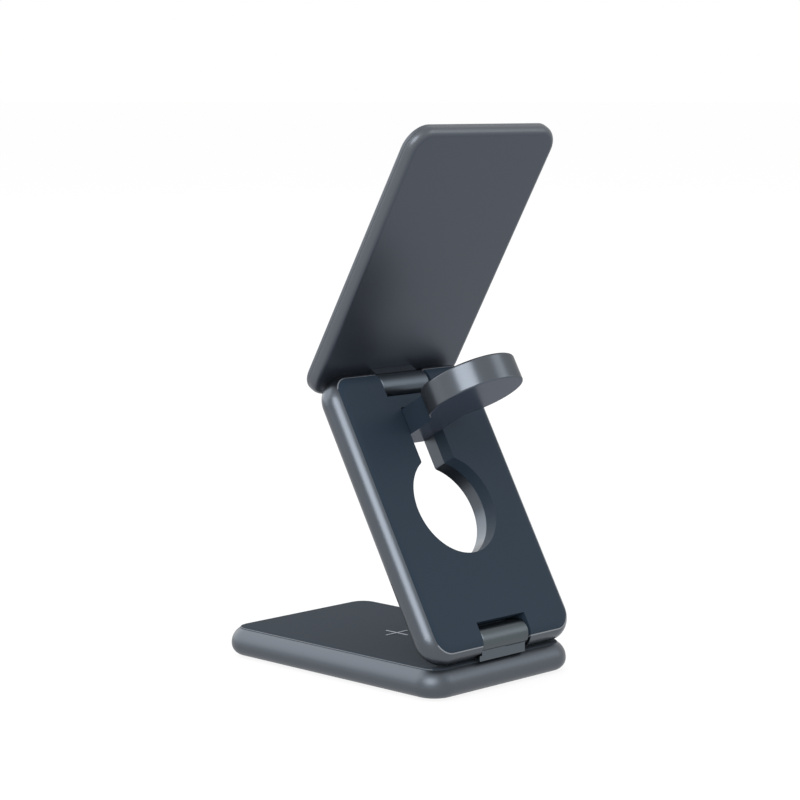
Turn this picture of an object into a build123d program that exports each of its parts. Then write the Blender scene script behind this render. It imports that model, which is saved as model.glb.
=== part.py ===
from build123d import *
import math
import os

# Folding charging stand of three flat panels in a Z: a base panel on the desk,
# a leaning middle panel with a round cut-out, and a thin top panel. A round
# disc on a short arm swings out of the cut-out. Millimetres, +Z up, X across
# the hinge axes, the user at -Y. Origin: centre of the footprint, on the desk.

# ---------------------------------------------------------------- dimensions
FOOT = 0.5            # rubber feet stand this far below the base
W = 62.0              # width of base and middle panels
L = 91.7              # length of base and middle panels
T = 8.9               # thickness of base and middle panels
R_PLAN = 8.2          # corner radius in plan
R_EDGE = 5.2          # rounding of the base's upper edges
R_LOW = 3.5           # the same under the base
R_PAD = 4.6           # rounding that the base pad's edge follows, a little higher
R_REAR = 4.6          # rounding of the middle panel's rear edges
R_FRONT = 4.2         # the same at its front
INSET = 2.7           # frame border left around the flush inlays
GAP = 0.07            # fit gap around an inlay
RIM = 0.25            # small bright chamfer where a frame meets its inlay
PAD = 1.6             # base pad and base cover thickness
SKIN = 1.2            # middle cover skin thickness

LEAN_1 = 30.0         # middle panel leans this far from the vertical, to -Y
LEAN_2 = 30.0         # top panel leans this far from the vertical, to +Y
H1_Y = 41.06          # lower hinge axis
H1_Z = FOOT + T + 4.93
V_END = -4.55         # middle panel's lower end, along the panel from axis 1
V_TOP = 86.2          # middle panel's upper end
INLAY_LOW = -2.5      # ends of the middle panel's rear inlay
INLAY_TOP = 84.65
V_H2 = 81.65          # upper hinge axis, along the middle panel
HOLE_V = 41.0         # centre of the round cut-out, along the middle panel
HOLE_R = 15.75
SLOT_X = 6.95         # half width of the slot above the cut-out
SLOT_V = 73.1         # upper end of that slot

PIVOT_V = 68.1        # swing axis of the disc arm, on the panel's mid-plane
ARM = 27.7            # swing axis to disc centre
DISC_R = 14.72
DISC_HI = 4.42        # disc faces, measured from the swing axis
DISC_LO = -3.63
ARM_X = 6.5           # half width of the arm
PIVOT_R = 1.2

W2 = 61.4             # top panel
L2 = 91.0
T2 = 4.1
R2_PLAN = 7.5
BACK_Z = 4.95         # top panel's back face, from axis 2
LOW_V = -4.95         # top panel's lower end, from axis 2
PLATE = 1.45          # front plate thickness
R2_EDGE = 2.25        # rounding of the back edges

BARREL_R = 4.1
BARREL_X = 9.8        # half length of each barrel
BLOCK_X = 8.6         # half width of the leaf below the barrel
BLOCK_F = 3.6         # leaf face, from the axis
HEEL_X = 11.0         # lower leaf's heel reaches this far under the middle panel
NOTCH_X = 10.35       # half width of the hinge notches
NOTCH_1 = 4.5         # notch depth past axis 1
NOTCH_2 = 4.7         # notch depth past axis 2
PIN_R = 1.5
SLEEVE_R = 2.2

USB_Y = 24.0          # inlet on the -X side of the base
MARK_X = 0.8          # centre of the cross mark on the base pad
MARK_Y = 1.0

os.makedirs("parts", exist_ok=True)
nodes = {}


# ------------------------------------------------------------------- helpers
def slab(w, l, t, r, e, low=None):
    """Flat panel centred on the origin, its edges rounded by e, or by low underneath."""
    body = extrude(RectangleRounded(w, l, r), t / 2, both=True)
    body = fillet(body.faces().sort_by(Axis.Z)[0].edges(), low or e)
    return fillet(body.faces().sort_by(Axis.Z)[-1].edges(), e)


def prism(sketch, z0, z1):
    return Pos(0, 0, z0) * extrude(sketch, z1 - z0)


def box(x0, x1, y0, y1, z0, z1):
    return Pos((x0 + x1) / 2, (y0 + y1) / 2, (z0 + z1) / 2) * Box(
        x1 - x0, y1 - y0, z1 - z0
    )


def rod_x(r, x0, x1, y=0.0, z=0.0):
    return Pos((x0 + x1) / 2, y, z) * Rot(0, 90, 0) * Cylinder(r, x1 - x0)


def rod_z(r, z0, z1, x=0.0, y=0.0):
    return Pos(x, y, (z0 + z1) / 2) * Cylinder(r, z1 - z0)


def ring_z(ro, ri, z0, z1, x=0.0, y=0.0):
    return rod_z(ro, z0, z1, x, y) - rod_z(ri, z0 - 1, z1 + 1, x, y)


def ring_x(ro, ri, x0, x1, y=0.0, z=0.0):
    return rod_x(ro, x0, x1, y, z) - rod_x(ri, x0 - 1, x1 + 1, y, z)


def screw(x, y, z_top, head_r, head_h, shank_r, length, up=False):
    """Pan screw with a cross recess, head up at z_top, or head down if up."""
    s = rod_z(head_r, -head_h, 0) + rod_z(shank_r, -head_h - length, -head_h)
    d = head_h * 0.6
    s -= box(-head_r * 0.6, head_r * 0.6, -0.22, 0.22, -d, 1)
    s -= box(-0.22, 0.22, -head_r * 0.6, head_r * 0.6, -d, 1)
    if up:
        s = Rot(180, 0, 0) * s
    return Pos(x, y, z_top) * s


def group(parts):
    return Compound(children=[s for p in parts for s in p.solids()])


def save(name, shape, place=None):
    if place is not None:
        shape = place * shape
    solids = shape.solids()
    nodes[name] = solids
    out = solids[0] if len(solids) == 1 else Compound(children=list(solids))
    export_step(out, "parts/" + name + ".step")
    print(name, len(solids), round(sum(s.volume for s in solids), 1))


s1, c1 = math.sin(math.radians(LEAN_1)), math.cos(math.radians(LEAN_1))
s2, c2 = math.sin(math.radians(LEAN_2)), math.cos(math.radians(LEAN_2))
BASE = Pos(0, 0, FOOT)
# Middle panel's own frame: x across, y up the panel, z out of its front face.
MID = Location(Plane(origin=(0, H1_Y, H1_Z), x_dir=(1, 0, 0), z_dir=(0, -c1, -s1)))
H2_Y = H1_Y - s1 * V_H2
H2_Z = H1_Z + c1 * V_H2
# Top panel's own frame: y up the panel, z out of its front face.
TOP = Location(Plane(origin=(0, H2_Y, H2_Z), x_dir=(1, 0, 0), z_dir=(0, -c2, s2)))
PUCK = MID * Pos(0, PIVOT_V, 0)
print("axis 1", 0, H1_Y, H1_Z, "axis 2", 0, round(H2_Y, 4), round(H2_Z, 4))
print("swing axis", 0, round(H1_Y - s1 * PIVOT_V, 4), round(H1_Z + c1 * PIVOT_V, 4))


# ------------------------------------------------------------- base assembly
# Heights here are from the underside of the base frame.
b_slab = Pos(0, 0, T / 2) * slab(W, L, T, R_PLAN, R_EDGE, R_LOW)


def b_in(d):
    return RectangleRounded(W - 2 * d, L - 2 * d, R_PLAN - d)


CAV = INSET + 2.2
RIM_H = 0.46          # height over which the rim chamfer is cut
rim_cut = extrude(
    RectangleRounded(W - 2 * INSET, L - 2 * INSET, R_PLAN - INSET), 2.0, taper=-45
)
POSTS = [(-23.2, -38.0), (23.2, -38.0), (-23.2, 38.0), (23.2, 38.0)]
SCREW_Y = 33.2

frame = b_slab - prism(b_in(INSET), T - PAD, T + 1) - prism(b_in(INSET), -1, PAD)
frame -= Pos(0, 0, T - RIM_H) * rim_cut
frame -= Pos(0, 0, RIM_H) * Rot(180, 0, 0) * rim_cut
cavity = prism(b_in(CAV), PAD - 0.1, T - PAD + 0.1)
for px, py in POSTS:
    cavity -= rod_z(3.3, -1, T + 1, px, py)
# hinge boss across the rear wall, with the leaf's foot sunk into it
cavity -= box(-13.5, 13.5, 28.6, 60, PAD, 5.2)
frame -= cavity
frame -= box(-8.8, 8.8, 28.9, 41.6, 5.2, T - PAD + 0.1)
for px, py in POSTS:
    frame -= rod_z(1.0, -1, 5.8, px, py)
for sx in (-5.2, 5.2):
    frame -= rod_z(1.0, 2.4, 6, sx, SCREW_Y)
# inlet opening in the -X wall, with a shallow lead-in
usb_open = SlotOverall(9.4, 3.7)
usb_cut = Pos(-40, USB_Y, 5.24) * Rot(0, 90, 0) * Rot(0, 0, 90) * extrude(usb_open, 20)
usb_lead = Pos(-40, USB_Y, 5.24) * Rot(0, 90, 0) * Rot(0, 0, 90) * extrude(
    SlotOverall(10.2, 4.5), 9.55
)
frame -= usb_cut
frame -= usb_lead
save("base_frame", frame, BASE)

# pad whose edge stands a little above the frame's rounded border
pad = prism(b_in(INSET + GAP), T - PAD, T + 1)
pad &= Pos(0, 0, T / 2) * slab(W, L, T, R_PLAN, R_PAD, R_LOW)
pad -= box(-8.8, 8.8, 37.4, 41.5, 0, 20)
# thin raised cross that marks where the earbud case is put down
pad += Pos(MARK_X, MARK_Y, T + 0.02) * Box(9.2, 0.42, 0.26)
pad += Pos(MARK_X, MARK_Y, T + 0.02) * Box(0.42, 9.2, 0.26)
save("base_top_pad", pad, BASE)

cover = (b_slab & prism(b_in(INSET + GAP), -1, PAD))
FEET = [(-20.5, -31.5), (20.5, -31.5), (-20.5, 31.5), (20.5, 31.5)]
for fx, fy in FEET:
    cover -= rod_z(4.6, -1, 0.4, fx, fy)
for px, py in POSTS:
    cover -= rod_z(1.75, -1, 1.25, px, py)
    cover -= rod_z(1.05, -1, 2, px, py)
save("base_bottom_cover", cover, BASE)

feet = []
for fx, fy in FEET:
    f = rod_z(4.5, -FOOT, 0.4, fx, fy)
    f = fillet(f.faces().sort_by(Axis.Z)[0].edges(), 0.35)
    feet.append(f)
save("base_feet", group(feet), BASE)

save(
    "base_cover_screws",
    group([screw(px, py, 0.42, 1.7, 0.8, 0.95, 4.3, up=True) for px, py in POSTS]),
    BASE,
)

weight = prism(Pos(0, -12) * RectangleRounded(46, 57, 2), PAD + 0.1, PAD + 2.9)
for px, py in POSTS:
    weight -= rod_z(3.6, -1, 9, px, py)
for yy in (-32, 8):
    weight -= rod_z(2.2, -1, 9, 0, yy)
save("counterweight", weight, BASE)

save(
    "earbud_ferrite",
    prism(Pos(0, MARK_Y) * RectangleRounded(36, 46, 3), 5.3, 6.0),
    BASE,
)
coil = prism(Pos(0, MARK_Y) * Ellipse(16.5, 21.5), 6.05, 7.2) - prism(
    Pos(0, MARK_Y) * Ellipse(8, 13), 6, 8
)
save("earbud_coil", coil, BASE)

board = prism(Pos(-15.8, 26.0) * Rectangle(18.5, 14.0), 2.55, 3.55)
board += prism(Pos(20.0, 27.0) * Rectangle(11.0, 12.0), 2.55, 3.55)
board += prism(Pos(2.0, 26.9) * Rectangle(26.0, 3.0), 2.55, 3.55)
board -= box(-13.7, 13.7, 28.5, 60, 0, 9)
save("main_board", board, BASE)

chips = [
    box(-13.4, -8.8, 20.5, 25.1, 3.57, 4.5),
    box(17.0, 21.5, 22.6, 27.1, 3.57, 4.5),
    box(22.0, 24.6, 28.2, 31.4, 3.57, 5.1),
    rod_z(1.6, 3.57, 5.2, 17.2, 30.4),
    box(-13.6, -9.4, 26.1, 28.3, 3.57, 4.7),
    box(4.0, 6.0, 26.3, 27.6, 3.57, 4.2),
    box(7.0, 9.0, 26.3, 27.6, 3.57, 4.2),
]
save("board_components", group(chips), BASE)

# USB-C receptacle: a rounded steel shell with the centre tongue inside
sock_place = Pos(-30.4, USB_Y, 5.24) * Rot(0, 90, 0) * Rot(0, 0, 90)
shell_out = extrude(SlotOverall(8.94, 3.26), 7.3)
shell_in = Pos(0, 0, -1) * extrude(SlotOverall(8.34, 2.56), 7.3)
save("usb_c_socket", sock_place * (shell_out - shell_in), BASE)
tongue = Pos(0, 0, 3.25) * Box(6.69, 0.7, 5.3)
tongue += Pos(0, 0, 5.55) * extrude(SlotOverall(8.2, 2.4), 0.7)
save("usb_c_tongue", sock_place * tongue, BASE)


# ------------------------------------------------------------------- hinges
# Leaf section about its axis: a round barrel, and a block whose flat face
# carries it. 'y' is towards the visible side, block runs to z = z_low.
def leaf(y0, z_low):
    barrel = rod_x(BARREL_R, -BARREL_X, BARREL_X)
    ends = barrel.edges().filter_by(GeomType.CIRCLE)
    barrel = chamfer(ends, 0.2)
    block = box(-BLOCK_X, BLOCK_X, y0, BLOCK_F, z_low, 0)
    # keep the block behind the barrel's round front above the crease
    crease = -math.sqrt(BARREL_R**2 - BLOCK_F**2)
    block -= box(-20, 20, 3.0, 9, crease + 0.02, 9)
    one = barrel + block
    # seam where the flat face begins
    one -= box(-BLOCK_X - 1, BLOCK_X + 1, BLOCK_F - 0.45, 9, crease - 0.32, crease + 0.06)
    return one


h_top = H1_Z - FOOT - T                     # axis 1 above the base's top face
low_leaf = leaf(-BLOCK_F, -h_top - 0.15)
# heel beside the block, level with the base's top like the block itself
low_leaf += box(0, NOTCH_X - 0.3, 0, BLOCK_F, -h_top - 0.15, -2.05) - rod_x(3.75, 0, 20)
low_leaf += box(0, HEEL_X, 0.4, BLOCK_F, -h_top - 0.15, -3.0) - rod_x(5.0, -20, 20)
low_leaf -= box(-20, 20, -9, L / 2 - INSET - H1_Y + 0.1, -h_top - 9, -h_top + 0.05)
low_leaf -= rod_x(R_EDGE + 0.05, -20, 20, L / 2 - R_EDGE - H1_Y, -h_top - R_EDGE)
# neck through the pad, and foot screwed to the base's hinge boss
low_leaf += box(-BLOCK_X, BLOCK_X, 37.5 - H1_Y, 41.4 - H1_Y, -h_top - PAD - 2.05, -h_top + 1)
low_leaf += box(-BLOCK_X, BLOCK_X, 29.1 - H1_Y, 41.4 - H1_Y, -h_top - 3.66, -h_top - PAD - 0.05)
low_leaf -= rod_x(SLEEVE_R, -20, 20)
for sx in (-5.2, 5.2):
    low_leaf -= rod_z(1.05, -20, -6, sx, SCREW_Y - H1_Y)
    low_leaf -= rod_z(1.95, -h_top - 2.75, -6, sx, SCREW_Y - H1_Y)
AX1 = Pos(0, H1_Y, H1_Z)
save("lower_hinge_leaf", low_leaf, AX1)
save(
    "lower_hinge_sleeve",
    ring_x(SLEEVE_R, PIN_R + 0.05, -BARREL_X, BARREL_X),
    AX1,
)
save(
    "lower_hinge_screws",
    group([screw(sx, SCREW_Y, T - PAD - 0.15, 1.85, 0.95, 0.95, 3.5) for sx in (-5.2, 5.2)]),
    BASE,
)


# ----------------------------------------------------------- middle assembly
L1 = V_TOP - V_END
V_MID1 = (V_TOP + V_END) / 2
m_slab = Pos(0, V_MID1, 0) * slab(W, L1, T, R_PLAN, R_FRONT, R_REAR)


def m_front(d):
    return Pos(0, V_MID1) * RectangleRounded(W - 2 * d, L1 - 2 * d, R_PLAN - d)


def m_in(d):
    length = INLAY_TOP - INLAY_LOW - 2 * (d - INSET)
    return Pos(0, (INLAY_TOP + INLAY_LOW) / 2) * RectangleRounded(
        W - 2 * d, length, R_PLAN - d
    )


def keyhole(d=0.0):
    """Round cut-out joined to its slot, grown by d."""
    shape = Pos(0, HOLE_V) * Circle(HOLE_R + d)
    shape += Pos(0, (HOLE_V + SLOT_V + d) / 2) * Rectangle(
        2 * (SLOT_X + d), SLOT_V + d - HOLE_V
    )
    join = shape.vertices().filter_by(
        lambda v: abs(abs(v.X) - SLOT_X - d) < 0.01 and v.Y < SLOT_V - 5
    )
    shape = fillet(join, 0.9)
    ends = shape.vertices().filter_by(lambda v: v.Y > SLOT_V + d - 0.01)
    return fillet(ends, 0.8 + d)


def notches(d=0.0):
    low = Pos(0, V_END - 10 + (NOTCH_1 - V_END + 10 + d) / 2) * Rectangle(
        2 * (NOTCH_X + d), NOTCH_1 - V_END + 10 + d
    )
    high = Pos(0, V_H2 - NOTCH_2 - d + 15) * Rectangle(2 * (NOTCH_X + d), 30)
    return low + high


FACE = T / 2
key_cut = prism(keyhole(), -9, 9)
notch_cut = prism(notches(), -9, 9)
front_area = m_front(INSET) - keyhole(1.6) - notches(1.4)
front_fit = m_front(INSET + GAP) - keyhole(1.6 + GAP) - notches(1.4 + GAP)

m_frame = m_slab - prism(m_in(INSET), -9, 0)
m_rim = Pos(0, (INLAY_TOP + INLAY_LOW) / 2, 0) * extrude(
    RectangleRounded(W - 2 * INSET, INLAY_TOP - INLAY_LOW, R_PLAN - INSET), 2.0, taper=-45
)
m_frame -= Pos(0, 0, -(FACE - RIM_H)) * Rot(0, 180, 0) * m_rim
BOSS_Z = -(FACE - SKIN - 0.05)
WALL = 1.3            # cover's lip beside the notches and the cut-out
bosses = []
for sg in (-1, 1):
    for (v0, v1, x0, x1) in (
        (-3.4, 4.4, NOTCH_X + WALL + 0.1, 19.5),
        (V_H2 - 4.4, V_H2 + 3.7, NOTCH_X + WALL + 0.1, 19.5),
        (PIVOT_V - 3.6, PIVOT_V + 3.6, SLOT_X + WALL + 0.1, 13.6),
    ):
        xa, xb = sorted((sg * x0, sg * x1))
        bosses.append(box(xa, xb, v0, v1, BOSS_Z, 0.1))
M_SCREWS = [(-23.3, 20.0), (23.3, 20.0), (-23.3, 62.0), (23.3, 62.0)]
for b in bosses:
    m_frame += b & m_slab
m_frame -= prism(front_area, FACE - SKIN, 9)
m_frame = m_frame - key_cut - notch_cut
for v in (0.0, V_H2):
    m_frame -= rod_x(PIN_R, -18.5, 18.5, v, 0)
m_frame -= rod_x(PIVOT_R, -12.6, 12.6, PIVOT_V, 0)
for sx, sv in M_SCREWS:
    m_frame -= rod_z(1.0, -1, 9, sx, sv)
    m_frame -= rod_z(1.95, 2.0, 9, sx, sv)
save("middle_frame", m_frame, MID)

skin = m_slab & prism(m_in(INSET + GAP), -9, -(FACE - SKIN))
lips = prism(keyhole(WALL), -FACE, -0.03)
lips += prism(notches(WALL) & m_in(INSET + GAP), -FACE, -0.03)
edge_rib = prism(m_in(INSET + GAP) - m_in(INSET + GAP + 1.1), -(FACE - SKIN) - 0.2, -0.6)
for b in bosses:
    grown = b.bounding_box()
    edge_rib -= box(
        grown.min.X - 0.15, grown.max.X + 0.15,
        grown.min.Y - 0.15, grown.max.Y + 0.15, BOSS_Z - 0.02, 1,
    )
r_cover = skin + (lips & m_slab) + (edge_rib & m_slab)
for sx, sv in M_SCREWS:
    r_cover += rod_z(2.6, -(FACE - SKIN) - 0.2, -0.03, sx, sv)
    r_cover -= rod_z(0.95, -2.9, 1, sx, sv)
r_cover = r_cover - key_cut - notch_cut
for v in (0.0, V_H2):
    r_cover -= rod_x(PIN_R + 0.1, -18.6, 18.6, v, 0)
r_cover -= rod_x(PIVOT_R + 0.1, -12.7, 12.7, PIVOT_V, 0)
save("middle_rear_cover", r_cover, MID)

f_cover = m_slab & prism(front_fit, FACE - SKIN + 0.02, 9)
save("middle_front_cover", f_cover, MID)

save(
    "middle_cover_screws",
    group([screw(sx, sv, 3.1, 1.8, 1.0, 0.93, 4.6) for sx, sv in M_SCREWS]),
    MID,
)
save("lower_hinge_pin", rod_x(PIN_R, -18.4, 18.4), AX1)
save("upper_hinge_pin", rod_x(PIN_R, -18.4, 18.4, V_H2, 0), MID)


def washers(x_in, x_out, ro, ri):
    return group([ring_x(ro, ri, -x_out, -x_in), ring_x(ro, ri, x_in, x_out)])


save("lower_hinge_washers", washers(BARREL_X + 0.06, NOTCH_X - 0.04, 3.4, PIN_R), AX1)
save(
    "upper_hinge_washers",
    Pos(0, V_H2, 0) * washers(BARREL_X + 0.06, NOTCH_X - 0.04, 3.4, PIN_R),
    MID,
)
save("disc_pivot_pin", rod_x(PIVOT_R, -12.5, 12.5), PUCK)
save("disc_pivot_washers", washers(ARM_X + 0.05, SLOT_X - 0.03, 2.9, PIVOT_R), PUCK)

# flat ribbon cable in the rear pocket, from the lower hinge round the cut-out
ribbon = box(-20.4, -17.3, 5.9, 58.0, -2.2, -1.5)
ribbon += box(-20.4, -9.2, 58.0, 61.0, -2.2, -1.5)
ribbon += box(-20.4, -17.3, 61.0, 75.0, -2.2, -1.5)
ribbon = ribbon + box(-12.2, -9.2, 58.0, 63.4, -2.2, -1.5)
save("middle_ribbon_cable", ribbon, MID)


# ------------------------------------------------------------ disc assembly
# Own frame: origin on the swing axis, y through the disc, arm towards -z.
def disc(r, y0, y1):
    return Pos(0, (y0 + y1) / 2, -ARM) * Rot(90, 0, 0) * Cylinder(r, y1 - y0)


d_body = disc(DISC_R, DISC_LO, DISC_HI)
rims = d_body.edges().filter_by(GeomType.CIRCLE).sort_by(Axis.Y)
d_body = fillet(rims[-1], 0.7)
rims = d_body.edges().filter_by(GeomType.CIRCLE).sort_by(Axis.Y)
d_body = fillet(rims[0], 0.45)
arm = box(-ARM_X, ARM_X, DISC_LO, DISC_HI, -ARM, 0)
arm += rod_x(DISC_HI, -ARM_X, ARM_X) & box(-9, 9, DISC_LO, 9, -9, 9)
# square heel, flush with the middle panel's front when the disc is out
arm += box(-ARM_X, ARM_X, DISC_LO, 0, 0, 4.39)
housing = d_body + arm
CAP_R = 13.3
housing -= disc(CAP_R, DISC_HI - 1.3, 20)
housing -= disc(12.6, DISC_LO + 1.3, DISC_HI)
housing -= box(-2.2, 2.2, -1.2, 1.6, -16, -3.4)
housing -= rod_x(PIVOT_R + 0.05, -20, 20)
save("disc_housing", housing, PUCK)

cap = disc(CAP_R - 0.08, DISC_HI - 1.25, DISC_HI)
dish = Pos(0, DISC_HI + 239.75, -ARM) * Sphere(240)
cap -= dish
save("disc_charging_cap", cap, PUCK)

save("watch_board", disc(11.6, -2.2, -1.5), PUCK)
save("watch_ferrite", disc(11.8, -0.6, 0.3) - disc(4.4, -2, 2), PUCK)
save("watch_coil", disc(11.2, 0.45, 2.3) - disc(5.2, -2, 3), PUCK)
save("watch_magnet", disc(4.2, -0.6, 2.6), PUCK)


# ------------------------------------------------------------- top assembly
V_MID2 = LOW_V + L2 / 2


def t_in(d):
    return Pos(0, V_MID2) * RectangleRounded(W2 - 2 * d, L2 - 2 * d, R2_PLAN - d)


SEAM_Z = BACK_Z + T2 - PLATE
FRONT_Z = BACK_Z + T2
FLOOR = 1.2
t_shell = prism(t_in(0), BACK_Z, SEAM_Z)
t_shell = fillet(t_shell.faces().sort_by(Axis.Z)[0].edges(), R2_EDGE)
t_shell = chamfer(t_shell.faces().sort_by(Axis.Z)[-1].edges(), 0.14)
t_shell -= prism(t_in(1.9), BACK_Z + FLOOR, 20)
t_shell -= box(-7.6, 7.6, -2.7, 2.7, 0, 20)
T_SCREWS = [(-5.0, 8.9), (5.0, 8.9)]
for sx, sv in T_SCREWS:
    t_shell -= rod_z(0.8, BACK_Z + 0.2, 20, sx, sv)
save("top_back_shell", t_shell, TOP)

plate = prism(t_in(0), SEAM_Z, FRONT_Z)
plate = fillet(plate.faces().sort_by(Axis.Z)[-1].edges(), 0.6)
plate = chamfer(plate.faces().sort_by(Axis.Z)[0].edges(), 0.14)
plate -= prism(t_in(2.2), FRONT_Z - 0.6, 20)
save("top_front_plate", plate, TOP)
save("phone_pad", prism(t_in(2.2 + GAP), FRONT_Z - 0.58, FRONT_Z), TOP)

COIL_V = V_MID2
z_in = BACK_Z + FLOOR
save("phone_ferrite", rod_z(22.3, z_in + 0.02, z_in + 0.42, 0, COIL_V), TOP)
save("phone_coil", ring_z(21.6, 10.5, z_in + 0.46, SEAM_Z - 0.06, 0, COIL_V), TOP)
segments = []
for i in range(16):
    wedge = ring_z(27.6, 23.2, z_in + 0.05, SEAM_Z - 0.1, 0, 0)
    a = math.radians(10.6)
    far = 40.0
    pie = extrude(
        make_face(
            Polyline(
                (0, 0), (far * math.cos(a), -far * math.sin(a)),
                (far * math.cos(a), far * math.sin(a)), close=True,
            )
        ),
        20,
    )
    segments.append(Pos(0, COIL_V, 0) * Rot(0, 0, 22.5 * i + 11.25) * (wedge & pie))
save("phone_magnet_ring", group(segments), TOP)
save("top_board", box(12.0, 27.0, -1.0, 7.5, z_in + 0.1, z_in + 0.9), TOP)

# upper leaf: same section as the lower one, its block meets the back shell
up_leaf = Rot(180, 0, 0) * Rot(0, 0, 180) * leaf(-3.25, -(BACK_Z - 0.04))
up_leaf += box(-7.5, 7.5, -2.6, 2.6, BACK_Z - 1.5, z_in + 0.02)
up_leaf += box(-8.4, 8.4, -2.6, 11.9, z_in + 0.02, z_in + 0.86)
up_leaf -= rod_x(SLEEVE_R, -20, 20)
for sx, sv in T_SCREWS:
    up_leaf -= rod_z(0.85, z_in - 1, 20, sx, sv)
save("upper_hinge_leaf", up_leaf, TOP)
save("upper_hinge_sleeve", ring_x(SLEEVE_R, PIN_R + 0.05, -BARREL_X, BARREL_X), TOP)
t_scr = [screw(sx, sv, z_in + 1.42, 1.5, 0.54, 0.78, 1.6) for sx, sv in T_SCREWS]
save("upper_hinge_screws", group(t_scr), TOP)
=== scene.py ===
import bpy
import math
from mathutils import Matrix, Vector

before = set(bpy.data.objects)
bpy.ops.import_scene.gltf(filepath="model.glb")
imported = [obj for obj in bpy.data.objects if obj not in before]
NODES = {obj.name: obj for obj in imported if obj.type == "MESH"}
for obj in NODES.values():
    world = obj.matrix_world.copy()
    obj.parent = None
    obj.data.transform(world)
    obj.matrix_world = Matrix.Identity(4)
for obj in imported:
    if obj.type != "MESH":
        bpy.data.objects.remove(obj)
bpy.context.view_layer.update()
MM = 0.001
scene = bpy.context.scene

# Sizes of the object that the finishes follow, in millimetres.
W, L, T, FOOT = 62.0, 91.7, 8.9, 0.5
INSET, R_IN = 2.7, 5.5
INLAY_LOW, INLAY_TOP = -2.5, 84.65
AXIS_1, AXIS_2 = (0.0, 41.06, 14.33), (0.0, 0.235, 85.041)
W_TOP, L_TOP = 61.4, 91.0
MARK = (0.8, 1.0)


# ------------------------------------------------------------------ camera
AZ, EL = math.radians(134.451), math.radians(7.069)
back = Vector((math.sin(AZ) * math.cos(EL), -math.cos(AZ) * math.cos(EL), math.sin(EL)))
right = Vector((math.cos(AZ), math.sin(AZ), 0.0))
up = back.cross(right)
target = Vector((-6.608, -4.974, 79.748)) * MM
cam = bpy.data.objects.new("camera", bpy.data.cameras.new("camera"))
cam.data.sensor_width = 36.0
cam.data.lens = 109.73
cam.data.clip_start, cam.data.clip_end = 0.02, 200.0
place = Matrix((right, up, back)).transposed().to_4x4()
place.translation = target + back * 743.9 * MM
cam.matrix_world = place
scene.collection.objects.link(cam)
scene.camera = cam

# ------------------------------------------------------------------- light
scene.view_settings.view_transform = "Standard"
world = bpy.data.worlds.new("studio")
world.use_nodes = True
world.node_tree.nodes["Background"].inputs["Color"].default_value = (1, 1, 1, 1)
world.node_tree.nodes["Background"].inputs["Strength"].default_value = 1.0
scene.world = world
AIM = Vector((0, 0, 0.08))


def softbox(name, direction, distance, width, height, radiance):
    """A soft rectangular light of that radiance, seen from the object in that direction."""
    light = bpy.data.lights.new(name, "AREA")
    light.shape = "RECTANGLE"
    light.size, light.size_y = width, height
    light.energy = radiance * math.pi * width * height
    o = bpy.data.objects.new(name, light)
    d = Vector(direction).normalized()
    o.matrix_world = Matrix.Translation(AIM + d * distance) @ d.to_track_quat("Z", "Y").to_matrix().to_4x4()
    scene.collection.objects.link(o)
    return o


softbox("key", (0.775, 0.41, 0.48), 2.0, 1.35, 1.30, 4.9)
softbox("front", (0.27, -0.81, 0.52), 2.2, 3.5, 2.6, 1.65)
softbox("rear", (-0.57, 0.68, 0.43), 2.2, 1.05, 1.25, 1.8)

# ------------------------------------------------------------------- floor
floor_mesh = bpy.data.meshes.new("floor")
ring = [(90 * math.cos(2 * math.pi * i / 128), 90 * math.sin(2 * math.pi * i / 128), 0.0) for i in range(128)]
floor_mesh.from_pydata(ring, [], [list(range(128))])
floor = bpy.data.objects.new("floor", floor_mesh)
scene.collection.objects.link(floor)
fm = bpy.data.materials.new("floor")
fm.use_nodes = True
b = fm.node_tree.nodes["Principled BSDF"]
b.inputs["Base Color"].default_value = (0.12, 0.12, 0.12, 1)
b.inputs["Roughness"].default_value = 0.9
b.inputs["Specular IOR Level"].default_value = 0.0
b.inputs["Emission Color"].default_value = (1, 1, 1, 1)
b.inputs["Emission Strength"].default_value = 0.87
floor_mesh.materials.append(fm)


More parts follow.
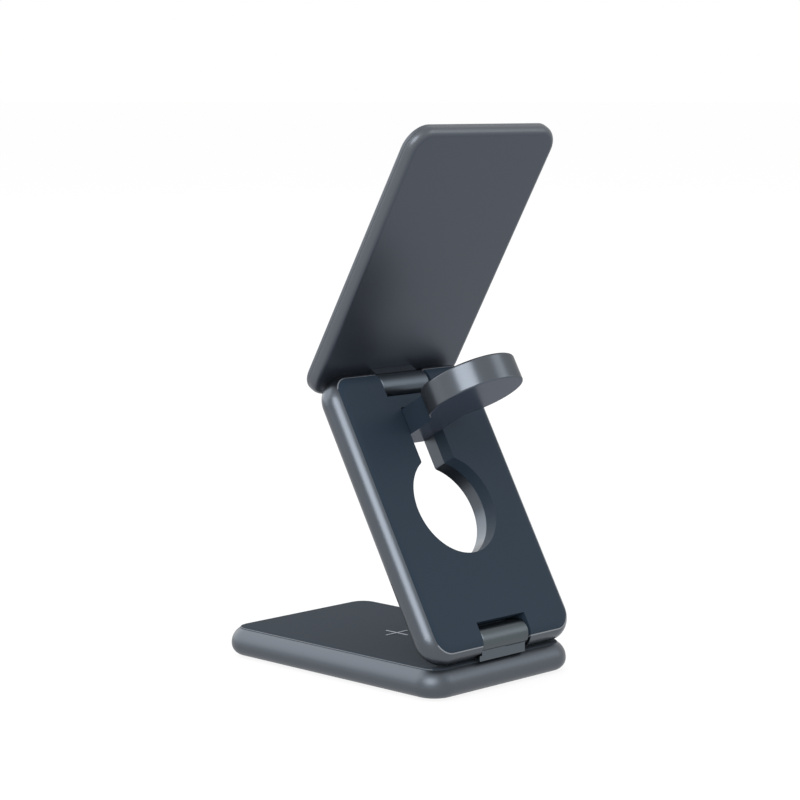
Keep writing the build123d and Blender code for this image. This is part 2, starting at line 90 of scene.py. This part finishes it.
# --------------------------------------------------------------- materials
class Finish:
    """A node material on object coordinates, in metres."""

    def __init__(self, name, metallic=0.0, specular=0.5, glare=1.0):
        self.m = bpy.data.materials.new(name)
        self.m.use_nodes = True
        self.t = self.m.node_tree
        self.b = self.t.nodes["Principled BSDF"]
        self.b.inputs["Metallic"].default_value = metallic
        self.b.inputs["Specular IOR Level"].default_value = specular
        self.b.inputs["Specular Tint"].default_value = (glare, glare, glare, 1)
        self.at = self.t.nodes.new("ShaderNodeTexCoord").outputs["Object"]

    def put(self, socket, value):
        if isinstance(value, bpy.types.NodeSocket):
            self.t.links.new(value, socket)
        else:
            socket.default_value = value

    def math(self, op, a, b=0.0):
        n = self.t.nodes.new("ShaderNodeMath")
        n.operation = op
        self.put(n.inputs[0], a)
        self.put(n.inputs[1], b)
        return n.outputs[0]

    def along(self, origin, direction):
        """Distance from origin along a direction, both in millimetres."""
        s = self.t.nodes.new("ShaderNodeVectorMath")
        s.operation = "SUBTRACT"
        self.put(s.inputs[0], self.at)
        s.inputs[1].default_value = [v * MM for v in origin]
        d = self.t.nodes.new("ShaderNodeVectorMath")
        d.operation = "DOT_PRODUCT"
        self.t.links.new(s.outputs[0], d.inputs[0])
        d.inputs[1].default_value = direction
        return self.math("MULTIPLY", d.outputs["Value"], 1000.0)

    def noise(self, scale, detail=2.0, rough=0.5, stretch=None):
        n = self.t.nodes.new("ShaderNodeTexNoise")
        n.inputs["Scale"].default_value = scale
        n.inputs["Detail"].default_value = detail
        n.inputs["Roughness"].default_value = rough
        v = self.at
        if stretch:
            k = self.t.nodes.new("ShaderNodeVectorMath")
            k.operation = "MULTIPLY"
            self.t.links.new(v, k.inputs[0])
            k.inputs[1].default_value = stretch
            v = k.outputs[0]
        self.t.links.new(v, n.inputs["Vector"])
        return n.outputs["Fac"]

    def cells(self, scale):
        n = self.t.nodes.new("ShaderNodeTexVoronoi")
        n.inputs["Scale"].default_value = scale
        self.t.links.new(self.at, n.inputs["Vector"])
        return n.outputs["Distance"]

    def span(self, value, a, b, c, d):
        n = self.t.nodes.new("ShaderNodeMapRange")
        self.t.links.new(value, n.inputs["Value"])
        for key, x in (("From Min", a), ("From Max", b), ("To Min", c), ("To Max", d)):
            n.inputs[key].default_value = x
        return n.outputs["Result"]

    def mix(self, fac, one, two):
        n = self.t.nodes.new("ShaderNodeMix")
        n.data_type = "RGBA"
        self.put(n.inputs["Factor"], fac)
        for key, c in (("A", one), ("B", two)):
            socket = [i for i in n.inputs if i.name == key and i.type == "RGBA"][0]
            self.put(socket, c if isinstance(c, bpy.types.NodeSocket) else (*c, 1))
        return [o for o in n.outputs if o.type == "RGBA"][0]

    def between(self, value, low, high):
        """1 where low < value < high."""
        return self.math(
            "MULTIPLY", self.math("GREATER_THAN", value, low), self.math("LESS_THAN", value, high)
        )

    def outline(self, x, y, hx, hy, r):
        """Signed distance from a rounded rectangle, in the units of x and y."""
        qx = self.math("SUBTRACT", self.math("ABSOLUTE", x), hx - r)
        qy = self.math("SUBTRACT", self.math("ABSOLUTE", y), hy - r)
        mx, my = self.math("MAXIMUM", qx, 0.0), self.math("MAXIMUM", qy, 0.0)
        far = self.math("SQRT", self.math("ADD", self.math("MULTIPLY", mx, mx), self.math("MULTIPLY", my, my)))
        near = self.math("MINIMUM", self.math("MAXIMUM", qx, qy), 0.0)
        return self.math("SUBTRACT", self.math("ADD", far, near), r)

    def bump(self, height, strength, distance, under=None):
        n = self.t.nodes.new("ShaderNodeBump")
        n.inputs["Strength"].default_value = strength
        n.inputs["Distance"].default_value = distance * MM
        self.t.links.new(height, n.inputs["Height"])
        if under:
            self.t.links.new(under, n.inputs["Normal"])
        return n.outputs["Normal"]

    def finish(self, color, rough, normal=None):
        self.put(self.b.inputs["Base Color"], color if isinstance(color, bpy.types.NodeSocket) else (*color, 1))
        self.put(self.b.inputs["Roughness"], rough)
        if normal:
            self.t.links.new(normal, self.b.inputs["Normal"])
        return self.m


def shade(color, k):
    return tuple(min(1.0, c * k) for c in color)


def blend(f, mask, r, value):
    return f.math("ADD", f.math("MULTIPLY", r, f.math("SUBTRACT", 1.0, mask)), f.math("MULTIPLY", mask, value))


def satin(
    name, color, rough, grain=0.16, depth=0.010, tone=0.07, metallic=1.0,
    specular=0.5, glare=1.0, rim=None, rim_highlight_color=None, extra=None,
):
    """Bead-blasted, anodised metal. rim(finish) gives a mask of cut edges where a lighter, less metallic line is
    painted in as a highlight.
    """
    f = Finish(name, metallic, specular, glare)
    cloud = f.noise(34.0, 3.0, 0.55)
    fine = f.noise(1000.0 / grain, 2.0, 0.55)
    pits = f.cells(1000.0 / (grain * 1.7))
    soft = f.mix(cloud, shade(color, 1 - tone), shade(color, 1 + tone))
    col = f.mix(f.span(fine, 0.3, 0.7, 0.0, 0.35), soft, shade(color, 1 + 2.2 * tone))
    r = f.math("ADD", f.span(cloud, 0.3, 0.7, rough - 0.025, rough + 0.025), f.span(pits, 0.0, 0.8, 0.02, -0.02))
    n = f.bump(pits, 0.35, depth, f.bump(fine, 0.45, depth))
    # Painted highlight: the masked edge line gets a lighter colour and less metal so it shows as lit.
    if rim:
        mask = rim(f)
        col = f.mix(mask, col, rim_highlight_color)
        r = blend(f, mask, r, 0.30)
        f.put(f.b.inputs["Metallic"], f.math("SUBTRACT", metallic, f.math("MULTIPLY", mask, 0.7)))
    if extra:
        col, r = extra(f, col, r)
    return f.finish(col, r, n)


def moulded(name, color, rough, specular=0.5, grain=0.35, depth=0.02, tone=0.08, extra=None):
    """Moulded plastic with a fine spark-eroded texture."""
    f = Finish(name, 0.0, specular)
    cloud = f.noise(26.0, 3.0, 0.6)
    fine = f.noise(1000.0 / grain, 3.0, 0.6)
    pits = f.cells(1000.0 / (grain * 1.3))
    col = f.mix(cloud, shade(color, 1 - tone), shade(color, 1 + tone))
    col = f.mix(f.span(pits, 0.0, 0.6, 0.25, 0.0), col, shade(color, 1 - 2.4 * tone))
    r = f.math("ADD", f.span(fine, 0.3, 0.7, rough - 0.04, rough + 0.04), f.span(cloud, 0.3, 0.7, -0.02, 0.02))
    n = f.bump(pits, 0.3, depth, f.bump(fine, 0.5, depth))
    if extra:
        col, r = extra(f, col, r)
    return f.finish(col, r, n)


X, Y, Z = (1, 0, 0), (0, 1, 0), (0, 0, 1)
S, C = 0.5, math.cos(math.radians(30))
UP_1, REAR_1 = (0, -S, C), (0, C, S)
UP_2 = (0, S, C)


# Painted highlight: a light line around the border of the base's underside, at the inlay outline.
def base_rim_highlight(f):
    d = f.outline(f.along((0, 0, 0), X), f.along((0, 0, 0), Y), W / 2 - INSET, L / 2 - INSET, R_IN)
    low = f.between(f.along((0, 0, 0), Z), -1.0, FOOT + 1.2)
    return f.math("MULTIPLY", f.between(d, -0.1, 0.2), low)


# Painted highlight: a light line on the rear inlay border, kept only at the panel's ends where the edge catches light.
def middle_rim_highlight(f):
    d = f.outline(
        f.along(AXIS_1, X),
        f.math("SUBTRACT", f.along(AXIS_1, UP_1), (INLAY_LOW + INLAY_TOP) / 2),
        W / 2 - INSET, (INLAY_TOP - INLAY_LOW) / 2, R_IN,
    )
    rear = f.between(f.along(AXIS_1, REAR_1), 2.2, 9.0)
    ends = f.math("SUBTRACT", 1.0, f.between(f.along(AXIS_1, UP_1), 0.6, 81.5))
    return f.math("MULTIPLY", f.math("MULTIPLY", f.between(d, -0.05, 0.30), rear), ends)


def pad_mark_and_edge_highlight(f, col, r):
    x, y, z = f.along((0, 0, 0), X), f.along((0, 0, 0), Y), f.along((0, 0, 0), Z)
    d = f.outline(x, y, W / 2 - INSET, L / 2 - INSET, R_IN)
    # Painted highlight: a light line along the pad's top edge, left off toward the hinge end (y over 41 mm) where it
    # lies in shade. The raised cross is the pad's own light mark.
    edge = f.math("MULTIPLY", f.between(d, -0.27, 0.1), f.between(z, FOOT + T - 0.5, 20.0))
    edge = f.math("MULTIPLY", edge, f.math("LESS_THAN", y, 41.0))
    cross = f.between(z, FOOT + T + 0.03, 20.0)
    light = f.math("MAXIMUM", edge, cross)
    col = f.mix(cross, col, (0.27, 0.29, 0.32))
    return f.mix(edge, col, (0.125, 0.137, 0.155)), blend(f, light, r, 0.38)


def top_edge_highlight(f, col, r):
    """A lighter band is painted along the outer edge of the top panel as a painted highlight."""
    d = f.outline(
        f.along(AXIS_2, X),
        f.math("SUBTRACT", f.along(AXIS_2, UP_2), (-4.95 + 86.05) / 2),
        W_TOP / 2, L_TOP / 2, 7.5,
    )
    return f.mix(f.span(d, -1.9, -0.6, 0.0, 1.0), col, (0.087, 0.097, 0.112)), r


def leaf_face_light(f, col, r):
    """Painted light: the flat block under the barrel is coloured a little lighter than the barrel, standing in for how
    its flat face is lit.
    """
    low = f.math("LESS_THAN", f.along(AXIS_1, Z), -2.06)
    return f.mix(low, col, (0.090, 0.106, 0.122)), r


BLUE = (0.086, 0.097, 0.112)
# Colour of the painted highlight line on the frames' cut edges.
PAINTED_RIM_HIGHLIGHT = (0.175, 0.19, 0.21)
FINISH = {
    "base_frame": satin("anodised_base", BLUE, 0.43, rim=base_rim_highlight, rim_highlight_color=PAINTED_RIM_HIGHLIGHT),
    "middle_frame": satin("anodised_middle", BLUE, 0.33, rim=middle_rim_highlight, rim_highlight_color=PAINTED_RIM_HIGHLIGHT),
    "lower_hinge_leaf": satin("hinge_metal", (0.076, 0.090, 0.099), 0.34, extra=leaf_face_light),
    "upper_hinge_leaf": satin("upper_hinge_metal", (0.064, 0.078, 0.094), 0.33, metallic=0.85),
    "top_back_shell": satin("top_shell", (0.044, 0.054, 0.072), 0.37, metallic=0.7, extra=top_edge_highlight),
    "disc_housing": satin("disc_metal", (0.086, 0.097, 0.112), 0.25, grain=0.13, depth=0.006, metallic=0.8, glare=0.5),
    "middle_rear_cover": moulded("slate", (0.0166, 0.0274, 0.0420), 0.55, 0.10),
    "base_top_pad": moulded("pad", (0.0285, 0.0362, 0.0455), 0.80, 0.06, extra=pad_mark_and_edge_highlight),
    "phone_pad": moulded("soft_touch", (0.030, 0.035, 0.043), 0.62, 0.30, grain=0.28),
    "disc_charging_cap": moulded("cap", (0.016, 0.018, 0.022), 0.22, 0.5, grain=0.2, depth=0.003),
    "base_bottom_cover": moulded("dark_plastic", (0.028, 0.032, 0.040), 0.55, 0.5, grain=0.5, depth=0.04),
    "base_feet": moulded("rubber", (0.010, 0.010, 0.011), 0.85, 0.3, grain=0.6, depth=0.05),
    "board_components": moulded("chip_plastic", (0.010, 0.010, 0.012), 0.5, 0.5, grain=0.2, depth=0.01),
    "earbud_ferrite": moulded("ferrite", (0.016, 0.016, 0.018), 0.75, 0.5, grain=0.25, depth=0.03),
}


def steel(name, color, rough, turned=False):
    """Plain steel, with faint drawn or turned lines along X."""
    f = Finish(name, 1.0, 0.5)
    lines = f.noise(900.0, 3.0, 0.6, stretch=(8.0, 1.0, 1.0) if turned else (0.15, 1.0, 6.0))
    cloud = f.noise(70.0, 3.0, 0.5)
    col = f.mix(lines, shade(color, 0.88), shade(color, 1.06))
    col = f.mix(f.span(cloud, 0.35, 0.75, 0.0, 0.3), col, shade(color, 0.8))
    return f.finish(col, f.span(lines, 0.3, 0.7, rough - 0.06, rough + 0.06), f.bump(lines, 0.4, 0.006))


def copper(name):
    """Enamelled copper wire, drawn as fine noise strands with a bump."""
    f = Finish(name, 1.0, 0.5)
    strands = f.noise(420.0, 4.0, 0.65)
    fine = f.noise(2600.0, 2.0, 0.5)
    col = f.mix(strands, (0.42, 0.13, 0.05), (0.80, 0.36, 0.16))
    return f.finish(col, f.span(fine, 0.3, 0.7, 0.24, 0.40), f.bump(strands, 0.5, 0.06))


def board(name):
    """Green solder mask with a faint woven glass pattern under it."""
    f = Finish(name, 0.0, 0.5)
    weave = f.noise(1200.0, 2.0, 0.5, stretch=(1.0, 0.25, 1.0))
    tracks = f.cells(420.0)
    col = f.mix(f.span(tracks, 0.25, 0.45, 0.0, 0.5), (0.010, 0.075, 0.030), (0.016, 0.115, 0.048))
    col = f.mix(f.span(weave, 0.4, 0.7, 0.0, 0.3), col, (0.020, 0.130, 0.060))
    return f.finish(col, f.span(weave, 0.3, 0.7, 0.28, 0.40), f.bump(tracks, 0.3, 0.02))


def film(name):
    """Amber ribbon film with its copper tracks."""
    f = Finish(name, 0.0, 0.5)
    tracks = f.noise(700.0, 1.0, 0.4, stretch=(6.0, 0.6, 0.6))
    col = f.mix(tracks, (0.30, 0.10, 0.018), (0.52, 0.22, 0.05))
    return f.finish(col, f.span(tracks, 0.3, 0.7, 0.26, 0.36), f.bump(tracks, 0.4, 0.02))


STEEL = steel("steel", (0.40, 0.40, 0.41), 0.30)
PIN = steel("turned_steel", (0.44, 0.44, 0.45), 0.26, turned=True)
BRASS = steel("turned_brass", (0.52, 0.37, 0.14), 0.30, turned=True)
MAGNET = steel("nickel", (0.42, 0.41, 0.39), 0.22)
COPPER, BOARD, FILM = copper("copper_wire"), board("circuit_board"), film("ribbon_film")
SAME = {
    "top_front_plate": "top_back_shell",
    "middle_front_cover": "middle_rear_cover",
    "usb_c_tongue": "board_components",
    "phone_ferrite": "earbud_ferrite",
    "watch_ferrite": "earbud_ferrite",
}
for name, o in NODES.items():
    if name in FINISH or name in SAME:
        m = FINISH[SAME.get(name, name)]
    elif name.endswith("_sleeve"):
        m = BRASS
    elif name.endswith("_pin"):
        m = PIN
    elif "magnet" in name:
        m = MAGNET
    elif name.endswith("_coil"):
        m = COPPER
    elif name.endswith("_board"):
        m = BOARD
    elif name.endswith("_cable"):
        m = FILM
    else:
        m = STEEL
    o.data.materials.clear()
    o.data.materials.append(m)

# The underside of the disc and its arm is darker and smoother, and the arm has slate sides.
disc = NODES["disc_housing"]
disc.data.materials.append(
    satin("disc_underside", (0.073, 0.090, 0.125), 0.20, depth=0.004, metallic=0.5, specular=0.02, glare=0.4)
)
disc.data.materials.append(FINISH["middle_rear_cover"])
for face in disc.data.polygons:
    if face.normal.dot(Vector(UP_1)) < -0.9:
        face.material_index = 1
    elif abs(face.normal.x) > 0.999 and abs(abs(face.center.x) - 6.5 * MM) < 0.05 * MM:
        face.material_index = 2
